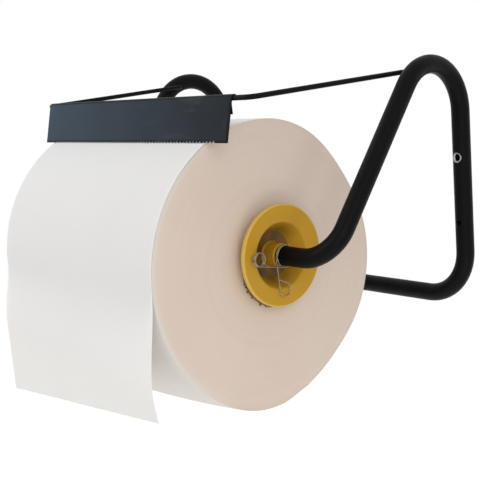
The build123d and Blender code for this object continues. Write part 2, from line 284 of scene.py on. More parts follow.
class Shader:
    """Node tree of a material or a world, wired up in small steps."""

    def __init__(self, owner: bpy.types.ID, main: str = "Principled BSDF") -> None:
        """Start from the main node and the piece's own coordinates.

        Args:
            owner: The material or the world.
            main: Name of its main node.
        """
        owner.use_nodes = True
        self.nodes = owner.node_tree.nodes
        self.links = owner.node_tree.links
        self.main = self.nodes[main]
        coordinates = self.nodes.new("ShaderNodeTexCoord")
        self.place = coordinates.outputs["Object"]
        self.facing = coordinates.outputs["Normal"]

    def node(self, kind: str, feeds: dict[str | int, Feed], output: str | int = 0,
             **settings: object) -> Socket:
        """Add a node.

        Args:
            kind: Blender's name of the node type, without ShaderNode.
            feeds: What goes into its inputs, a socket or a value.
            output: Which output to hand back.
            settings: Properties of the node.

        Returns:
            The chosen output.
        """
        made = self.nodes.new(f"ShaderNode{kind}")
        for name, value in settings.items():
            setattr(made, name, value)
        for key, value in feeds.items():
            if isinstance(value, Socket):
                self.links.new(value, made.inputs[key])
            else:
                made.inputs[key].default_value = value
        return made.outputs[output]

    def set(self, **feeds: Feed) -> None:
        """Feed the main node.

        Args:
            feeds: A socket or a value for each input, with underscores for spaces in its name.
        """
        for name, value in feeds.items():
            socket = self.main.inputs[name.replace("_", " ")]
            if isinstance(value, Socket):
                self.links.new(value, socket)
            else:
                socket.default_value = value

    def noise(self, clouds: Clouds) -> Socket:
        """Lay a cloudy pattern over the piece.

        Args:
            clouds: The pattern.

        Returns:
            Its strength, from 0 to 1.
        """
        place = self.place
        if clouds.stretch is not None:
            place = self.node("Mapping", {"Vector": place, "Scale": clouds.stretch})
        feeds = {"Vector": place, "Scale": clouds.scale, "Detail": clouds.detail}
        return self.node("TexNoise", feeds)

    def part(self, vector: Socket, axis: str) -> Socket:
        """One axis of a place or a direction."""
        return self.node("SeparateXYZ", {"Vector": vector}, axis)

    def rings(self, radius: Socket, clouds: Clouds) -> Socket:
        """Uneven rings about an axis, from the distance to it."""
        feeds = {"W": radius, "Scale": clouds.scale, "Detail": clouds.detail}
        return self.node("TexNoise", feeds, noise_dimensions="1D")

    def math(self, operation: str, first: Feed, second: Feed = 0.0, third: Feed = 0.0) -> Socket:
        """One sum on up to three numbers."""
        return self.node("Math", {0: first, 1: second, 2: third}, operation=operation)

    def span(self, value: Socket, low: float, high: float,
             start: float = 0.0, stop: float = 1.0) -> Socket:
        """Carry a range of values over to another.

        Args:
            value: The value to carry over.
            low: Result at start.
            high: Result at stop.
            start: First end of the value's range.
            stop: Second end of the value's range.

        Returns:
            The result, held between low and high.
        """
        feeds = {"Value": value, "From Min": start, "From Max": stop, "To Min": low, "To Max": high}
        return self.node("MapRange", feeds)

    def mix(self, share: Socket, first: Socket | Colour, second: Socket | Colour) -> Socket:
        """Blend two colours.

        Args:
            share: How much of the second colour shows.
            first: Colour at 0.
            second: Colour at 1.

        Returns:
            The blended colour.
        """
        feeds: dict[str | int, Feed] = {0: share}
        for key, colour in ((MIX_FIRST, first), (MIX_SECOND, second)):
            feeds[key] = colour if isinstance(colour, Socket) else (*colour, 1.0)
        return self.node("Mix", feeds, MIX_RESULT, data_type="RGBA")

    def away(self, across: Point, centre: Point) -> Socket:
        """Distance from a line along one axis.

        Args:
            across: 1 for the two axes across the line and 0 for the one along it.
            centre: Where the line crosses those two.

        Returns:
            The distance, in metres.
        """
        flat = self.node("VectorMath", {0: self.place, 1: across}, operation="MULTIPLY")
        return self.node("VectorMath", {0: flat, 1: centre}, "Value", operation="DISTANCE")

    def relief(self, height: Socket, depth: float, strength: float) -> None:
        """Raise a fine pattern on the surface.

        Args:
            height: The pattern, from 0 to 1.
            depth: How deep it is, in metres.
            strength: How much of it shows.
        """
        feeds = {"Height": height, "Distance": depth, "Strength": strength}
        self.set(Normal=self.node("Bump", feeds, "Normal"))


@dataclass(frozen=True)
class Finish:
    """Two tones with a cloudy roughness and a fine grain, which every finish starts from.

    The tones and the roughness go from one end to the other as their clouds go through a range.
    The relief is the grain's depth in metres and its strength.
    """

    name: str
    main: Colour
    second: Colour
    tint: Clouds
    rough: Range
    rough_clouds: Clouds
    specular: float
    grain: Clouds
    relief: Pair
    tint_range: Range = WHOLE
    rough_range: Range = WHOLE
    metal: float = 0.0

    def colour(self, tree: Shader) -> Socket:
        """Blend the two tones."""
        share = tree.span(tree.noise(self.tint), 0.0, 1.0, *self.tint_range)
        return tree.mix(share, self.main, self.second)

    def height(self, tree: Shader) -> Socket:
        """Height of the grain."""
        return tree.noise(self.grain)

    def material(self) -> bpy.types.Material:
        """Build the finish.

        Returns:
            The material.
        """
        material = bpy.data.materials.new(self.name)
        tree = Shader(material)
        rough = tree.span(tree.noise(self.rough_clouds), *self.rough, *self.rough_range)
        tree.set(Metallic=self.metal, Roughness=rough, Specular_IOR_Level=self.specular)
        tree.set(Base_Color=self.colour(tree))
        tree.relief(self.height(tree), *self.relief)
        return material


@dataclass(frozen=True)
class PowderCoat(Finish):
    """Black baked coat with a fine orange peel, cut bare in the countersinks."""

    main: Colour = (0.0022, 0.0022, 0.0023)
    second: Colour = (0.0046, 0.0046, 0.0046)
    tint: Clouds = Clouds(38.0, 4.0)
    rough: Range = (0.34, 0.50)
    rough_clouds: Clouds = Clouds(85.0, 5.0)
    rough_range: Range = MIDDLE
    specular: float = 0.07
    grain: Clouds = Clouds(950.0, 2.0)
    relief: Pair = (0.00005, 0.5)
    steel: Colour = (0.36, 0.36, 0.355)
    bare_spots: tuple[Pair, ...] = ()
    bare_metal: float = 0.6
    spot_radius: float = 0.0052
    spot_depth: float = 0.0031

    def colour(self, tree: Shader) -> Socket:
        """Show bare metal in the countersinks of the coat.

        Args:
            tree: The tree to add to.

        Returns:
            The colour.
        """
        coat = super().colour(tree)
        if not self.bare_spots:
            return coat
        bare: Feed = 0.0
        for x, z in self.bare_spots:
            near = tree.math("LESS_THAN", tree.away(ACROSS_Y, (x, 0.0, z)), self.spot_radius)
            bare = tree.math("MAXIMUM", bare, near)
        half = self.spot_depth / 2
        front = tree.math("COMPARE", tree.part(tree.place, "Y"), half - 2 * TUBE_RADIUS, half)
        bare = tree.math("MULTIPLY", front, bare)
        tree.set(Metallic=tree.math("MULTIPLY", bare, self.bare_metal))
        return tree.mix(bare, coat, self.steel)


# Dull black plastic of the tube plugs
PLUG_PLASTIC = Finish(
    "plug_plastic", main=(0.007, 0.007, 0.007), second=(0.014, 0.014, 0.013),
    tint=Clouds(160.0, 4.0), rough=(0.48, 0.66), rough_clouds=Clouds(300.0, 3.0), specular=0.3,
    grain=Clouds(1800.0, 2.0), relief=(0.00003, 0.6))


@dataclass(frozen=True)
class MouldedPlastic(Finish):
    """Mustard plastic of the cones, with a painted rim highlight and painted shade in the recess.

    The highlight, the recess shade, the hub and the floor shade change over distances from the
    spindle, and the lit side of the recess over distances behind it.
    """

    name: str = "mustard_plastic"
    main: Colour = (0.600, 0.335, 0.022)
    second: Colour = (0.540, 0.285, 0.016)
    tint: Clouds = Clouds(30.0, 4.0)
    rough: Range = (0.30, 0.48)
    rough_clouds: Clouds = Clouds(70.0, 5.0)
    rough_range: Range = MIDDLE
    specular: float = 0.22
    grain: Clouds = Clouds(1300.0, 2.0)
    turning: Clouds = Clouds(900.0, 1.0)
    relief: Pair = (0.00003, 0.4)
    # Painted highlight: the rim's outer edge is lighter where light catches it
    edge: Colour = (0.740, 0.500, 0.120)
    highlight_span: Range = (0.0483, 0.0492)
    highlight_share: float = 0.8
    # Painted shade in the recess, in patches, weaker on the hub and towards the lit back side
    recess_shade: Colour = (0.100, 0.045, 0.008)
    recess_shade_span: Range = (0.0235, 0.0330)
    recess_shade_share: float = 0.95
    patches: Clouds = Clouds(95.0, 5.0)
    patch_range: Range = (0.35, 0.7)
    patch_share: float = 0.55
    lit_side: Range = (0.004, 0.026)
    lit_side_share: float = 0.2
    hub_span: Range = (0.0127, 0.0132)
    hub_share: float = 0.4
    # Painted shade on the recess floor
    floor_shade: Colour = (0.032, 0.015, 0.003)
    floor_shade_inner: Range = (0.0128, 0.0136)
    floor_shade_outer: Range = (0.0230, 0.0238)
    floor_shade_facing: Range = (0.6, 0.9)
    floor_shade_share: float = 0.6

    def colour(self, tree: Shader) -> Socket:
        """Paint a highlight on the rim's edge and shade in the recess, deepest on its floor.

        Args:
            tree: The tree to add to.

        Returns:
            The colour.
        """
        radius = tree.away(ACROSS_X, SPINDLE)
        # Painted highlight on the rim's edge
        rim_highlight = tree.span(radius, 0.0, self.highlight_share, *self.highlight_span)
        plastic = tree.mix(rim_highlight, super().colour(tree), self.edge)
        # Painted shade in the recess, in patches, weaker towards the lit back side and on the hub
        lit_range = (SPINDLE_Y + behind for behind in self.lit_side)
        recess_shade_mask = tree.span(radius, self.recess_shade_share, 0.0, *self.recess_shade_span)
        for less in (tree.span(tree.part(tree.place, "Y"), 1.0, self.lit_side_share, *lit_range),
                     tree.span(tree.noise(self.patches), self.patch_share, 1.0, *self.patch_range),
                     tree.span(radius, self.hub_share, 1.0, *self.hub_span)):
            recess_shade_mask = tree.math("MULTIPLY", recess_shade_mask, less)
        # Painted shade on the recess floor, on faces turned along the spindle
        outward = tree.math("ABSOLUTE", tree.part(tree.facing, "X"))
        floor = tree.span(outward, 0.0, self.floor_shade_share, *self.floor_shade_facing)
        for less in (tree.span(radius, 0.0, 1.0, *self.floor_shade_inner),
                     tree.span(radius, 1.0, 0.0, *self.floor_shade_outer)):
            floor = tree.math("MULTIPLY", floor, less)
        return tree.mix(floor, tree.mix(recess_shade_mask, plastic, self.recess_shade), self.floor_shade)

    def height(self, tree: Shader) -> Socket:
        """Add fine turning marks to the grain."""
        marks = tree.rings(tree.away(ACROSS_X, SPINDLE), self.turning)
        return tree.math("ADD", super().height(tree), marks)


# Bright drawn spring wire with dull streaks
STREAKS = Clouds(420.0, 4.0, (3.0, 1.0, 1.0))
SPRING_STEEL = Finish(
    "spring_wire", main=(0.36, 0.31, 0.25), second=(0.13, 0.105, 0.08), tint=STREAKS,
    tint_range=(0.4, 0.7), rough=(0.26, 0.42), rough_clouds=Clouds(600.0, 3.0), specular=0.5,
    grain=STREAKS, relief=(0.00002, 0.4), metal=1.0)

# Fibres of the core's board
FIBRES = Clouds(260.0, 6.0, (0.25, 1.0, 1.0))


@dataclass(frozen=True)
class CoreBoard(Finish):
    """Brown board of the core with its spiral ply and loose fibres."""

    name: str = "core_board"
    main: Colour = (0.265, 0.165, 0.085)
    second: Colour = (0.420, 0.290, 0.170)
    tint: Clouds = FIBRES
    tint_range: Range = MIDDLE
    rough: Range = (0.78, 0.95)
    rough_clouds: Clouds = FIBRES
    specular: float = 0.2
    grain: Clouds = FIBRES
    relief: Pair = (0.0003, 0.6)
    stain: Colour = (0.105, 0.060, 0.032)
    blotches: Clouds = Clouds(75.0, 5.0)
    blotch_range: Range = (0.52, 0.72)
    blotch_share: float = 0.8
    ply_width: float = 0.062
    ply_slant: float = 6.0
    seam_width: float = 0.02

    def colour(self, tree: Shader) -> Socket:
        """Stain the board in blotches."""
        blotch = tree.span(tree.noise(self.blotches), 0.0, self.blotch_share, *self.blotch_range)
        return tree.mix(blotch, super().colour(tree), self.stain)

    def height(self, tree: Shader) -> Socket:
        """Sink the seams of the spiral ply into the fibres.

        Args:
            tree: The tree to add to.

        Returns:
            The height.
        """
        turn = tree.math("ADD", tree.math("DIVIDE", tree.part(tree.place, "X"), self.ply_width),
                         tree.math("MULTIPLY", tree.part(tree.place, "Z"), self.ply_slant))
        seam = tree.math("LESS_THAN", tree.math("FRACT", turn), self.seam_width)
        return tree.math("SUBTRACT", super().height(tree), seam)


@dataclass(frozen=True)
class WoundPaper(Finish):
    """Soft white paper with a cream end face of many fine layers, its cream partly the paper's own
    and partly painted warm shade, and with a painted highlight along the end's front rim.

    The highlight changes over depths from the outside, and its front over distances behind the
    spindle.
    """

    name: str = "wound_paper"
    main: Colour = (0.900, 0.880, 0.858)
    second: Colour = (0.870, 0.847, 0.825)
    tint: Clouds = Clouds(14.0, 4.0)
    rough: Range = (0.86, 0.96)
    rough_clouds: Clouds = Clouds(9.0, 4.0)
    specular: float = 0.15
    grain: Clouds = Clouds(900.0, 5.0)
    relief: Pair = (0.00018, 0.55)
    end_facing: Range = (0.35, 0.75)
    layers: Clouds = Clouds(1500.0, 2.0)
    # The cream end tones are partly the layers' own tint and partly painted warm shade, as the ends
    # face away from the light
    cream: Colour = (0.790, 0.666, 0.574)
    fawn: Colour = (0.743, 0.621, 0.530)
    bands: Clouds = Clouds(95.0, 3.0)
    band_share: float = 0.3
    tone_range: Range = (0.34, 0.66)
    honey: Colour = (0.705, 0.572, 0.420)
    honey_radius: float = 0.072
    honey_share: float = 0.55
    # Painted highlight along the end's outer rim, at the front only
    rim: Colour = (0.795, 0.735, 0.670)
    rim_depth: Range = (0.007, 0.001)
    rim_front: Range = (-0.10, -0.05)
    rim_light_share: float = 0.85

    def ends(self, tree: Shader) -> Socket:
        """1 on the wound ends and 0 on the outside."""
        outward = tree.math("ABSOLUTE", tree.part(tree.facing, "X"))
        return tree.span(outward, 0.0, 1.0, *self.end_facing)

    def colour(self, tree: Shader) -> Socket:
        """White outside, cream ends partly painted shade, and a painted highlight on their front
        rim.

        Args:
            tree: The tree to add to.

        Returns:
            The colour.
        """
        radius = tree.away(ACROSS_X, ROLL_AXIS)
        cloud = tree.math("MULTIPLY", tree.noise(self.rough_clouds), 1.0 - self.band_share)
        band = tree.math("MULTIPLY", tree.rings(radius, self.bands), self.band_share)
        tone = tree.span(tree.math("ADD", cloud, band), 0.0, 1.0, *self.tone_range)
        warm = tree.span(radius, self.honey_share, 0.0, CORE_RADIUS, self.honey_radius)
        # End tones, partly painted warm shade
        face = tree.mix(warm, tree.mix(tone, self.cream, self.fawn), self.honey)
        # Painted highlight on the end's outer rim, fading out towards the back
        depth = (ROLL_RADIUS - inward for inward in self.rim_depth)
        front = (SPINDLE_Y + behind for behind in self.rim_front)
        loose = tree.math("MULTIPLY", tree.span(radius, 0.0, self.rim_light_share, *depth),
                          tree.span(tree.part(tree.place, "Y"), 1.0, 0.0, *front))
        face = tree.mix(loose, face, self.rim)
        return tree.mix(self.ends(tree), super().colour(tree), face)

    def height(self, tree: Shader) -> Socket:
        """Add the wound layers on the ends to the fuzz."""
        layers = tree.rings(tree.away(ACROSS_X, ROLL_AXIS), self.layers)
        return tree.math("MULTIPLY_ADD", layers, self.ends(tree), super().height(tree))


@dataclass(frozen=True)
class LoosePaper(Finish):
    """The free layer: white creped tissue, with painted light at its top, below the teeth.

    The blend is the angles round the roll between which the painted light comes in, in degrees.
    """

    name: str = "loose_paper"
    main: Colour = (0.850, 0.836, 0.824)
    second: Colour = (0.820, 0.804, 0.790)
    tint: Clouds = Clouds(11.0, 5.0)
    rough: Range = (0.86, 0.96)
    rough_clouds: Clouds = Clouds(60.0, 3.0)
    specular: float = 0.15
    grain: Clouds = Clouds(620.0, 5.0, (0.45, 1.0, 1.0))
    relief: Pair = (0.00016, 0.55)
    # Painted light on the top of the sheet, below the teeth
    painted_light: Colour = (0.945, 0.928, 0.910)
    blend: Range = (120.0, 112.5)
    scatter: float = 0.4
    scatter_radius: Colour = (1.0, 0.95, 0.9)
    scatter_depth: float = 0.002

    def colour(self, tree: Shader) -> Socket:
        """Let light soak into the tissue, and paint light on it at the top, below the teeth.

        Args:
            tree: The tree to add to.

        Returns:
            The colour.
        """
        tree.set(Subsurface_Weight=self.scatter, Subsurface_Radius=self.scatter_radius,
                 Subsurface_Scale=self.scatter_depth)
        # Painted light near the top of the sheet, below the teeth
        ends = (ROLL_Z + ROLL_RADIUS * math.sin(math.radians(angle)) for angle in self.blend)
        painted_light_mask = tree.span(tree.part(tree.place, "Z"), 0.0, 1.0, *ends)
        return tree.mix(painted_light_mask, super().colour(tree), self.painted_light)


@dataclass(frozen=True)
class PlateCoat(Finish):
    """Satin slate coat with painted light fading to the right and painted shade on its top and
    edges.
    """

    name: str = "slate_coat"
    # main and second are painted light and shade: lit and bluish at the left, dark at the right
    main: Colour = (0.0440, 0.0655, 0.0940)
    second: Colour = (0.0120, 0.0135, 0.0160)
    tint: Clouds = Clouds(16.0, 4.0)
    tint_share: float = 0.18
    rough: Range = (0.34, 0.46)
    rough_clouds: Clouds = Clouds(55.0, 4.0)
    specular: float = 0.06
    grain: Clouds = Clouds(1100.0, 2.0)
    relief: Pair = (0.00003, 0.4)
    falloff_span: Range = (-0.19, 0.17)
    # Painted shade on the top of the fold, the right end and along the teeth
    painted_shade: Colour = (0.0020, 0.0025, 0.0035)
    crown_facing: Range = (0.30, 0.6)
    end_band: float = 0.0035
    end_share: float = 0.8
    tooth_band: float = 0.0030
    tooth_share: float = 0.7
    rubbed: Colour = (0.055, 0.060, 0.068)
    scuffs: Clouds = Clouds(130.0, 6.0, (0.2, 1.0, 1.0))
    scuff_range: Range = (0.62, 0.8)
    scuff_share: float = 0.5

    def colour(self, tree: Shader) -> Socket:
        """Paint light that fades towards the right, paint shade on the top and edges, and rub it.

        Args:
            tree: The tree to add to.

        Returns:
            The colour.
        """
        low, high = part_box("tear_plate")
        along = tree.part(tree.place, "X")
        cloud = tree.span(tree.noise(self.tint), -self.tint_share, self.tint_share)
        # Painted light fading from left to right, with a little cloudy tone
        light_falloff = tree.math("ADD", tree.span(along, 0.0, 1.0, *self.falloff_span), cloud)
        colour = tree.mix(light_falloff, self.main, self.second)
        # Painted shade on the upward faces, the right end and along the teeth
        upward = tree.span(tree.part(tree.facing, "Z"), 0.0, 1.0, *self.crown_facing)
        end = tree.span(along, 0.0, self.end_share,
                        high.x - self.end_band, high.x - self.end_band / 2)
        teeth = tree.span(tree.part(tree.place, "Z"), self.tooth_share, 0.0,
                          low.z + self.tooth_band / 2, low.z + self.tooth_band)
        for dark in (upward, tree.math("MAXIMUM", end, teeth)):
            colour = tree.mix(dark, colour, self.painted_shade)
        scuff = tree.span(tree.noise(self.scuffs), 0.0, self.scuff_share, *self.scuff_range)
        return tree.mix(scuff, colour, self.rubbed)


@dataclass(frozen=True)
class Lamp:
    """One soft lamp: its place, what it points at, its width in metres and its watts."""

    name: str
    place: Point
    target: Point
    width: float
    power: float


@dataclass
class Stage:
    """Pale floor, soft light and the camera."""

    floor_z: float = -1.1
    floor_radius: float = 4.0
    floor_sides: int = 96
    floor_rough: float = 0.9
    floor_colour: Colour = (0.88, 0.85, 0.81)
    floor_lift: float = 0.50
    ambient: float = 0.62
    eye: Point = (0.84033, -0.85591, 0.13261)
    yaw: float = 0.8769
    pitch: float = -0.1613
    tilt: float = -0.0732
    focal_pixels: float = 997.26
    sensor: float = 36.0
    lamps: tuple[Lamp, ...] = (
        Lamp("key", (-0.9, -2.0, 1.5), (0.0, -0.25, -0.03), 1.6, 23.5),
        Lamp("side", (1.75, -1.05, 0.70), (0.0, -0.20, -0.05), 1.2, 8.0),
        Lamp("low", (1.2, -0.8, -0.85), (0.0, -0.25, -0.05), 0.45, 2.1))

    @staticmethod
    def seen_directly(tree: Shader) -> Socket:
        """1 for rays from the eye, a mirror or glass, and 0 for rays that light things.

        Args:
            tree: The tree to add to.

        Returns:
            The most of the three kinds of ray.
        """
        total: Feed = 0.0
        for kind in ("Is Camera Ray", "Is Glossy Ray", "Is Transmission Ray"):
            total = tree.math("MAXIMUM", total, tree.node("LightPath", {}, kind))
        return total

    def light_world(self) -> None:
        """Make a world that looks white and lights at a plain level."""
        world = bpy.data.worlds.new("studio")
        bpy.context.scene.world = world
        tree = Shader(world, "Background")
        tree.set(Color=(1.0, 1.0, 1.0, 1.0),
                 Strength=tree.span(self.seen_directly(tree), self.ambient, 1.0))

    def lay_floor(self) -> None:
        """Lay a round pale floor that keeps the shadow and looks white to the eye."""
        clear_selection()
        bpy.ops.mesh.primitive_circle_add(vertices=self.floor_sides, radius=self.floor_radius,
                                          fill_type="NGON", location=(0.0, 0.0, self.floor_z))
        floor = settled("floor")
        with editing(floor):
            pick(floor, Pick.FACES, lambda face: True)
            bpy.ops.mesh.inset(thickness=self.floor_radius / 2)
        pale = bpy.data.materials.new("pale_floor")
        tree = Shader(pale)
        lift = tree.math("MULTIPLY", self.seen_directly(tree), self.floor_lift)
        tree.set(Base_Color=(*self.floor_colour, 1.0), Roughness=self.floor_rough,
                 Specular_IOR_Level=0.0, Emission_Color=(1.0, 1.0, 1.0, 1.0),
                 Emission_Strength=lift)
        dress(floor, pale)

    def hang_lamps(self) -> None:
        """Hang the soft lamps."""
        for lamp in self.lamps:
            light = bpy.data.lights.new(lamp.name, "AREA")
            light.size = lamp.width
            light.energy = lamp.power
            holder = bpy.data.objects.new(lamp.name, light)
            bpy.context.scene.collection.objects.link(holder)
            holder.location = lamp.place
            aim = Vector(lamp.target) - Vector(lamp.place)
            holder.rotation_euler = aim.to_track_quat("-Z", "Y").to_euler()

    def set_camera(self) -> None:
        """Stand the camera where the photograph was taken from."""
        ahead = Vector((-math.sin(self.yaw) * math.cos(self.pitch),
                        math.cos(self.yaw) * math.cos(self.pitch), math.sin(self.pitch)))
        level = Vector((math.cos(self.yaw), math.sin(self.yaw), 0.0))
        upright = level.cross(ahead)
        right = math.cos(self.tilt) * level + math.sin(self.tilt) * upright
        up = math.cos(self.tilt) * upright - math.sin(self.tilt) * level
        lens = bpy.data.cameras.new("camera")
        lens.sensor_width = self.sensor
        lens.lens = self.focal_pixels * self.sensor / IMAGE_WIDTH
        camera = bpy.data.objects.new("camera", lens)
        bpy.context.scene.collection.objects.link(camera)
        turned = Matrix((right, up, -ahead)).transposed().to_4x4()
        camera.matrix_world = Matrix.Translation(self.eye) @ turned
        bpy.context.scene.camera = camera

    def build(self) -> None:
        """Set up everything round the object."""
        bpy.context.scene.view_settings.view_transform = "Standard"
        self.light_world()
        self.lay_floor()
        self.hang_lamps()
        self.set_camera()


@dataclass
class HolderFrame:
    """Bent tube with its four wall holes and two plugs."""

    hole_x: float = 0.194
    countersink_z: float = 0.03425

    def dress(self) -> None:
        """Coat the tube and the plugs."""
        spots = tuple((side * self.hole_x, self.countersink_z) for side in (-1.0, 1.0))
        dress_node("frame_tube", PowderCoat("tube_coat", bare_spots=spots).material())
        plastic = PLUG_PLASTIC.material()
        for side in Side:
            dress_node(f"spindle_plug_{side.value}", plastic)


@dataclass
class RollCones:
    """The two moulded cones that carry the roll."""

    def dress(self) -> None:
        """Give both cones their plastic."""
        plastic = MouldedPlastic().material()
        for side in Side:
            dress_node(f"cone_{side.value}", plastic)


@dataclass
class TearBar:
    """Wire bail with its folded, toothed plate."""

    def dress(self) -> None:
        """Coat the wire and the plate."""
        dress_node("bail_wire", PowderCoat("wire_coat").material())
        dress_node("tear_plate", PlateCoat().material())


@dataclass
class SpringCollar:
    """Bent-wire clip that grips a spindle in front of its cone."""

    wire_radius: float = 0.0006
    wire_sides: int = 12
    end_round: float = 0.0002
    pitch: float = 0.0018
    ring_pitch: float = 0.00125
    grip_start: float = 0.0015
    grip_fit: float = 0.0003
    grip_turn: float = 644.0
    leg: float = 0.0325
    ring_radius: float = 0.0065
    first_ring_turn: float = 1170.0
    second_ring_turn: float = 240.0
    first_stub: float = 0.0012
    second_stub: float = 0.0105
    tilt: float = -10.0
    step: float = 10.0
    crease: float = 50.0

    def __post_init__(self) -> None:
        """Put the wire's free end where the first finger ring starts."""
        self.grip_radius = TUBE_RADIUS + self.grip_fit + self.wire_radius
        self.heading = math.radians(self.tilt - 90.0)
        self.grip_rise = self.pitch * self.grip_turn / 360.0
        self.first_rise = self.ring_pitch * self.first_ring_turn / 360.0
        self.second_rise = self.ring_pitch * self.second_ring_turn / 360.0
        start = Vector((self.grip_start + self.grip_rise - self.first_rise,
                        -self.leg - self.ring_radius,
                        self.ring_radius - self.grip_radius + self.first_stub))
        self.tip = Matrix.Rotation(math.radians(self.tilt), 3, "X") @ start

    def go(self, move: Vector, turn: float) -> None:
        """Draw the wire on by one short step.

        Args:
            move: Where the end goes to from where it is.
            turn: How far it turns about X, in radians.
        """
        self.tip = self.tip + move
        self.heading += turn
        bpy.ops.mesh.extrude_region_move(TRANSFORM_OT_translate={"value": move})
        if turn:
            bpy.ops.transform.rotate(value=-turn, orient_axis="X", center_override=self.tip)

    def straight(self, length: float, pieces: int = 3) -> None:
        """Draw a straight run.

        Args:
            length: How long it is.
            pieces: How many steps it is drawn in.
        """
        ahead = Vector((0.0, math.cos(self.heading), math.sin(self.heading)))
        for _ in range(pieces):
            self.go(ahead * length / pieces, 0.0)

    def bend(self, radius: float, degrees: float, rise: float) -> None:
        """Wind the wire round a former.

        Args:
            radius: Radius of the wire's middle line.
            degrees: How far round it goes.
            rise: Travel along X over the whole bend.
        """
        count = round(degrees / self.step)
        turn = math.radians(degrees) / count
        for _ in range(count):
            before, after = self.heading, self.heading + turn
            self.go(Vector((rise / count,
                            radius * (math.sin(after) - math.sin(before)),
                            radius * (math.cos(before) - math.cos(after)))), turn)

    def wind(self) -> Piece:
        """Bend one collar about the X axis, with the rim's plane at X 0.

        Returns:
            The finished wire.
        """
        clear_selection()
        bpy.ops.mesh.primitive_circle_add(
            vertices=self.wire_sides, radius=self.wire_radius, fill_type="NGON", location=self.tip,
            rotation=(self.heading - math.pi / 2, 0.0, 0.0))
        wire = settled("collar_right_wire")
        with editing(wire):
            pick(wire, Pick.FACES, lambda face: True)
            self.straight(self.first_stub, 1)
            self.bend(self.ring_radius, self.first_ring_turn, self.first_rise)
            self.straight(self.leg)
            self.bend(self.grip_radius, self.grip_turn, -self.grip_rise)
            self.straight(self.leg)
            self.bend(self.ring_radius, self.second_ring_turn, self.second_rise)
            self.straight(self.second_stub)
            pick(wire, Pick.FACES, many_sided)
            bpy.ops.mesh.inset(thickness=self.end_round, depth=self.end_round)
        close_up(wire, self.crease)
        return wire

    def place(self, wire: Piece, side: Side) -> None:
        """Push a collar onto its spindle.

        Args:
            wire: The wire, bent about the X axis.
            side: Which spindle it sits on.
        """
        select_only(wire)
        if side is Side.LEFT:
            half_turn = Matrix.Rotation(math.pi, 4, "Y")
            wire.matrix_world = Matrix.Rotation(math.pi / 2, 4, "X") @ half_turn
        low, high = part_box(f"cone_{side.value}")
        rim_x = high.x if side is Side.RIGHT else low.x
        wire.location = (rim_x, SPINDLE_Y, SPINDLE_Z)
        settled(f"collar_{side.value}_wire")

    def build(self) -> None:
        """Bend the wire once, copy it and fit both collars."""
        first = self.wind()
        second = first.copy()
        second.data = first.data.copy()
        bpy.context.scene.collection.objects.link(second)
        steel = SPRING_STEEL.material()
        for wire, side in ((first, Side.RIGHT), (second, Side.LEFT)):
            self.place(wire, side)
            dress(wire, steel)
            stand_in(wire, f"collar_{side.value}", Body(f"{side.value}_collar"))


@dataclass
class WoundRoll:
    """Wound paper with its layers pushed a little out of line, and slightly out of round.

    Each flat on the outside is its angle and spread in degrees, and its depth at the left end
    and at the right end. The ring seed spreads the rings and the ends over the noise.
    """

    sides: int = 240
    cuts: int = 14
    edge_round: float = 0.0008
    ring_width: float = 0.0035
    ring_relief: float = 0.00016
    ring_seed: Point = (1.7, 5.0, 0.3)
    edge_steps: int = 3
    square_on: float = 0.9
    crease: float = 35.0
    dents: float = 0.0006
    dent_scale: Point = (4.0, 9.0, 9.0)
    flats: tuple[tuple[float, float, float, float], ...] = (
        (35.0, 18.0, 0.0028, 0.0076), (-52.0, 12.0, 0.0014, 0.0034))

    def shape_end(self, roll: Piece, side: Side) -> None:
        """Step one end in ring by ring, from the outside to the core.

        Args:
            roll: The roll, open in edit mode.
            side: Which end to shape.
        """
        way = 1.0 if side is Side.RIGHT else -1.0
        telescope = TELESCOPE * way
        pick(roll, Pick.FACES,
             lambda face: face.normal.x * way > self.square_on and many_sided(face))
        depth = ROLL_RADIUS - self.edge_round - CORE_RADIUS
        count = round(depth / self.ring_width)
        for ring in range(count):
            seed = Vector((ring, way, 1.0)) * Vector(self.ring_seed)
            step_out = noise.noise(seed) * self.ring_relief
            bpy.ops.mesh.inset(thickness=depth / count, depth=telescope / count + step_out)

    def dent(self, roll: Piece) -> None:
        """Press flats and shallow dents into the outside, nowhere outwards.

        Args:
            roll: The roll to press.
        """
        for point in roll.data.vertices:
            out = Vector((0.0, point.co.y - SPINDLE_Y, point.co.z - ROLL_Z))
            share = smooth_step((out.length - CORE_RADIUS) / (ROLL_RADIUS - CORE_RADIUS))
            wave = noise.noise(point.co * Vector(self.dent_scale))
            press = self.dents * (0.5 + 0.5 * wave)
            angle = math.degrees(math.atan2(out.z, out.y))
            near = (point.co.x - ROLL_LEFT) / (ROLL_RIGHT - ROLL_LEFT)
            for middle, spread, left, right in self.flats:
                press += between((left, right), near) * bell(angle - middle, spread)
            point.co -= out.normalized() * (share * press)

    def build(self) -> None:
        """Build the roll and let it stand for the plain wound solid."""
        clear_selection()
        bpy.ops.mesh.primitive_cylinder_add(
            vertices=self.sides, radius=ROLL_RADIUS, depth=ROLL_RIGHT - ROLL_LEFT,
            end_fill_type="NGON", location=((ROLL_LEFT + ROLL_RIGHT) / 2, SPINDLE_Y, ROLL_Z),
            rotation=(0.0, math.pi / 2, 0.0))
        roll = settled("paper_roll_wound")
        with editing(roll):
            pick(roll, Pick.EDGES, runs_along)
            bpy.ops.mesh.subdivide(number_cuts=self.cuts)
            pick(roll, Pick.EDGES, lambda edge: any(map(many_sided, edge.link_faces)))
            bpy.ops.mesh.bevel(offset=self.edge_round, segments=self.edge_steps, affect="EDGES")
            for side in Side:
                self.shape_end(roll, side)
            pick(roll, Pick.FACES, many_sided)
            bpy.ops.mesh.delete(type="FACE")
            pick(roll, Pick.EDGES, lambda edge: edge.is_boundary)
            bpy.ops.mesh.bridge_edge_loops()
        self.dent(roll)
        close_up(roll, self.crease)
        dress(roll, WoundPaper().material())
        stand_in(roll, "paper_roll", Body.ROLL)


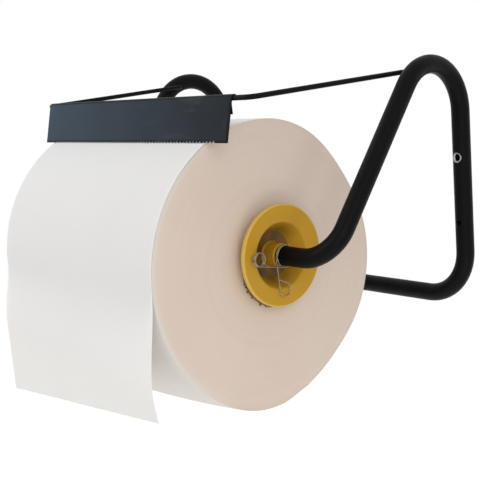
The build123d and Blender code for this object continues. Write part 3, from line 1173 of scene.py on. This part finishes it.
@dataclass
class SlackLayers:
    """Outer layers that have worked loose and sag under the roll, most of all on the left.

    They stay with the free end of the paper, and the roll turns inside them. The middle of the
    sag and its depth there each have a value at the right end and one far from it.
    """

    columns: int = 90
    rows: int = 84
    first_angle: float = -166.0
    last_angle: float = -72.0
    bedded: float = 0.0010
    end_setback: float = 0.00015
    least: float = 0.0002
    middle: Pair = (-99.0, -114.0)
    most: Pair = (0.0052, 0.0142)
    spread: float = 18.0
    reach: float = 0.35
    ease: float = 16.0
    crease: float = 35.0

    def depth(self, across: float, angle: float) -> float:
        """How far the loose layers stand off.

        Args:
            across: Place along the roll, 0 on the left and 1 on the right.
            angle: Place round the roll, in degrees.

        Returns:
            The depth of the loose layers, in metres.
        """
        away = 1.0 - math.exp((across - 1.0) / self.reach)
        sag = between(self.most, away) * bell(angle - between(self.middle, away), self.spread)
        ends = min(angle - self.first_angle, self.last_angle - angle)
        return self.least + sag * smooth_step(ends / self.ease)

    def build(self) -> None:
        """Build the loose layers as one closed crescent round the underside."""
        clear_selection()
        bpy.ops.mesh.primitive_grid_add(x_subdivisions=self.columns, y_subdivisions=self.rows,
                                        size=1.0)
        slack = settled("paper_roll_slack")
        with editing(slack):
            pick(slack, Pick.FACES, lambda face: True)
            bpy.ops.mesh.extrude_region_move(TRANSFORM_OT_translate={"value": (0.0, 0.0, 1.0)})
        left, right = ROLL_LEFT + self.end_setback, ROLL_RIGHT - self.end_setback
        for point in slack.data.vertices:
            across = point.co.x + 0.5
            degrees = between((self.first_angle, self.last_angle), point.co.y + 0.5)
            radius = ROLL_RADIUS - self.bedded + point.co.z * self.depth(across, degrees)
            angle = math.radians(degrees)
            point.co = (between((left, right), across), SPINDLE_Y + radius * math.cos(angle),
                        ROLL_Z + radius * math.sin(angle))
        close_up(slack, self.crease)
        dress(slack, WoundPaper("slack_paper").material())
        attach(slack, Body.FRAME.value)
        log.info("built %s, %d faces", slack.name, len(slack.data.polygons))


@dataclass
class RollCore:
    """Board tube with frayed ends that the paper is wound on."""

    wall: float = 0.003
    sides: int = 160
    cuts: int = 30
    fray: float = 0.0016
    fray_reach: float = 0.004
    flare: float = 0.0048
    flare_out: float = 0.6
    rough_scale: float = 21.0
    rough_share: float = 0.45
    rough_flare: float = 0.3
    shred_scale: float = 60.0
    shred_seed: float = 3.0
    crease: float = 50.0

    def fray_ends(self, core: Piece) -> None:
        """Tear the ends ragged and bend their fibres outwards.

        Args:
            core: The finished tube.
        """
        for point in core.data.vertices:
            for end, way in ((CORE_LEFT, -1.0), (CORE_RIGHT, 1.0)):
                near = 1.0 - abs(point.co.x - end) / self.fray_reach
                if near <= 0.0:
                    continue
                out = Vector((0.0, point.co.y - SPINDLE_Y, point.co.z - ROLL_Z)).normalized()
                rough = noise.noise(out * self.rough_scale + Vector((way, 0.0, 0.0)))
                shreds = noise.noise(out * self.shred_scale
                                     + Vector((self.shred_seed * way, 1.0, 0.0)))
                flared = near * self.flare * max(0.0, shreds + self.rough_flare * rough)
                ragged = near * self.fray * between((shreds, rough), self.rough_share)
                point.co += out * flared
                point.co.x += way * (ragged + self.flare_out * flared)

    def build(self) -> None:
        """Build the core and let it stand for the plain tube."""
        clear_selection()
        bpy.ops.mesh.primitive_cylinder_add(
            vertices=self.sides, radius=CORE_RADIUS, depth=CORE_RIGHT - CORE_LEFT,
            end_fill_type="NOTHING", location=((CORE_LEFT + CORE_RIGHT) / 2, SPINDLE_Y, ROLL_Z),
            rotation=(0.0, math.pi / 2, 0.0))
        core = settled("roll_core_tube")
        with editing(core):
            pick(core, Pick.EDGES, runs_along)
            bpy.ops.mesh.subdivide(number_cuts=self.cuts)
        close_up(core, self.crease)
        apply_modifier(core, "SOLIDIFY", thickness=self.wall, offset=-1.0)
        self.fray_ends(core)
        close_up(core, self.crease)
        dress(core, CoreBoard().material())
        stand_in(core, "roll_core", Body.ROLL)


@dataclass
class PaperTail:
    """Free layer of paper, from under the teeth over the roll and down to a torn edge.

    The crest, the swing forward and the fall back below the crest each have a value at the left
    edge and one at the right.
    """

    columns: int = 220
    wrap_rows: int = 56
    hang_rows: int = 56
    gap: float = 0.0004
    thickness: float = 0.0003
    first_angle: float = 112.0
    lift_angle: float = 118.0
    drop_left: float = 0.142
    drop_right: float = 0.123
    crests: Pair = (0.062, 0.092)
    swings: Pair = (0.0082, 0.0090)
    falls: Pair = (0.0013, 0.0042)
    fall_curve: float = 1.5
    bedded_share: float = 0.2
    tooth: float = 0.0012
    tooth_pitch: float = 0.005
    tear: float = 0.0006
    tear_scale: float = 40.0
    tear_seed: float = 7.0
    tear_curve: int = 8
    ripple: float = 0.0006
    ripple_scale: Pair = (3.1, 12.0)
    ripple_seed: float = 4.0
    ripple_start: float = 0.06
    crease: float = 60.0

    def length(self, across: float) -> float:
        """How far the sheet hangs below the axis of the roll."""
        return between((self.drop_left, self.drop_right), across)

    def swing(self, across: float, drop: float) -> float:
        """How far the free end swings out from the roll.

        Args:
            across: Place across the sheet, 0 on the left and 1 on the right.
            drop: How far below the axis of the roll.

        Returns:
            The way forward, in metres.
        """
        crest, most, fall = (between(ends, across)
                             for ends in (self.crests, self.swings, self.falls))
        past = max(0.0, drop - crest) / (self.length(across) - crest)
        wide, long = self.ripple_scale
        wave = noise.noise(Vector((across * wide, drop * long, self.ripple_seed)))
        return (most * smooth_step(drop / crest) - fall * past**self.fall_curve
                + wave * self.ripple * smooth_step(drop / self.ripple_start))

    def point(self, across: float, row: int) -> Vector:
        """One point of the sheet.

        Args:
            across: Place across the sheet, 0 on the left and 1 on the right.
            row: Row from the top.

        Returns:
            The point's place.
        """
        x = between((ROLL_LEFT, ROLL_RIGHT), across)
        if row <= self.wrap_rows:
            angle = between((self.first_angle, FRONT), row / self.wrap_rows)
            lifted = smooth_step((angle - self.first_angle) / (self.lift_angle - self.first_angle))
            radius = ROLL_RADIUS + self.gap * between((self.bedded_share, 1.0), lifted)
            angle = math.radians(angle)
            return Vector((x, SPINDLE_Y + radius * math.cos(angle),
                           ROLL_Z + radius * math.sin(angle)))
        share = (row - self.wrap_rows) / self.hang_rows
        bite = (x - ROLL_LEFT) / self.tooth_pitch % 1.0
        torn = self.tooth * 2.0 * abs(bite - 0.5)
        torn += self.tear * noise.noise(Vector((across * self.tear_scale, 0.0, self.tear_seed)))
        drop = share * (self.length(across) - torn * share**self.tear_curve)
        return Vector((x, SPINDLE_Y - ROLL_RADIUS - self.gap - self.swing(across, drop),
                       ROLL_Z - drop))

    def build(self) -> None:
        """Build the sheet and let it stand for the plain free layer."""
        rows = self.wrap_rows + self.hang_rows
        clear_selection()
        bpy.ops.mesh.primitive_grid_add(x_subdivisions=self.columns, y_subdivisions=rows, size=1.0)
        tail = settled("paper_tail_sheet")
        for point in tail.data.vertices:
            point.co = self.point(point.co.x + 0.5, round((0.5 - point.co.y) * rows))
        apply_modifier(tail, "SOLIDIFY", thickness=self.thickness, offset=0.0)
        close_up(tail, self.crease)
        dress(tail, LoosePaper().material())
        stand_in(tail, "paper_tail", Body.FRAME)


def write_sizes() -> None:
    """Bring the scene up to date."""
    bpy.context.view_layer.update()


def main() -> None:
    """Build and dress every sub-assembly in order."""
    logging.basicConfig(level=logging.INFO, format="%(name)s: %(message)s")
    Stage().build()
    HolderFrame().dress()
    RollCones().dress()
    TearBar().dress()
    SpringCollar().build()
    WoundRoll().build()
    SlackLayers().build()
    RollCore().build()
    PaperTail().build()
    clear_selection()
    write_sizes()


if __name__ == "__main__":
    main()
